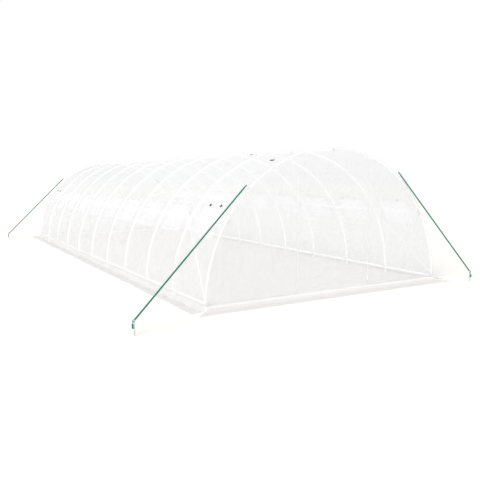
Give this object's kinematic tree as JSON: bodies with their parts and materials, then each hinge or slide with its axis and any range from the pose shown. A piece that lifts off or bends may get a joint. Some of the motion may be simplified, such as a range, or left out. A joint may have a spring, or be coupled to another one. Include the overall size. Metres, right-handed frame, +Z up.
{
  "type": "polytunnel greenhouse with steel hoops and film cover",
  "caption": "Polytunnel greenhouse: round white steel hoops under a translucent film cover, with skirts, side windows, zipped end doors and green guy ropes.",
  "frame": {"origin": "middle of the ground area, under the ridge and half way along, at ground level", "axes": "+Y along the tunnel from the front end to the back end, +X to the right seen from the front, +Z up"},
  "size_m": [6.2298, 11.1252, 2.0321],
  "materials": {
    "white_steel_tube": "satin",
    "zinc_plated_steel": "satin",
    "reinforced_film": "satin",
    "insect_mesh": "matte",
    "green_rope": "matte"
  },
  "bodies": {
    "root": {"base_rail_back": "white_steel_tube", "base_rail_front": "white_steel_tube", "base_rail_left": "white_steel_tube", "base_rail_right": "white_steel_tube", "corner_braces_back": "white_steel_tube", "corner_braces_front": "white_steel_tube", "cover_panel_1": "reinforced_film", "cover_panel_2": "reinforced_film", "cover_panel_3": "reinforced_film", "cover_panel_4": "reinforced_film", "cover_panel_5": "reinforced_film", "door_back": "reinforced_film", "door_front": "reinforced_film", "end_wall_back": "reinforced_film", "end_wall_front": "reinforced_film", "ground_pegs": "zinc_plated_steel", "guy_eyes": "zinc_plated_steel", "guy_rope_back_left": "green_rope", "guy_rope_back_right": "green_rope", "guy_rope_front_left": "green_rope", "guy_rope_front_right": "green_rope", "hoop_01": "white_steel_tube", "hoop_02": "white_steel_tube", "hoop_03": "white_steel_tube", "hoop_04": "white_steel_tube", "hoop_05": "white_steel_tube", "hoop_06": "white_steel_tube", "hoop_07": "white_steel_tube", "hoop_08": "white_steel_tube", "hoop_09": "white_steel_tube", "hoop_10": "white_steel_tube", "hoop_11": "white_steel_tube", "ridge_purlin": "white_steel_tube", "saddle_clamps": "zinc_plated_steel", "side_purlin_left": "white_steel_tube", "side_purlin_right": "white_steel_tube", "skirt_back": "reinforced_film", "skirt_front": "reinforced_film", "skirt_left": "reinforced_film", "skirt_right": "reinforced_film", "window_flaps_left": "reinforced_film", "window_flaps_right": "reinforced_film", "window_screens_left": "insect_mesh", "window_screens_right": "insect_mesh"}
  },
  "joints": []
}
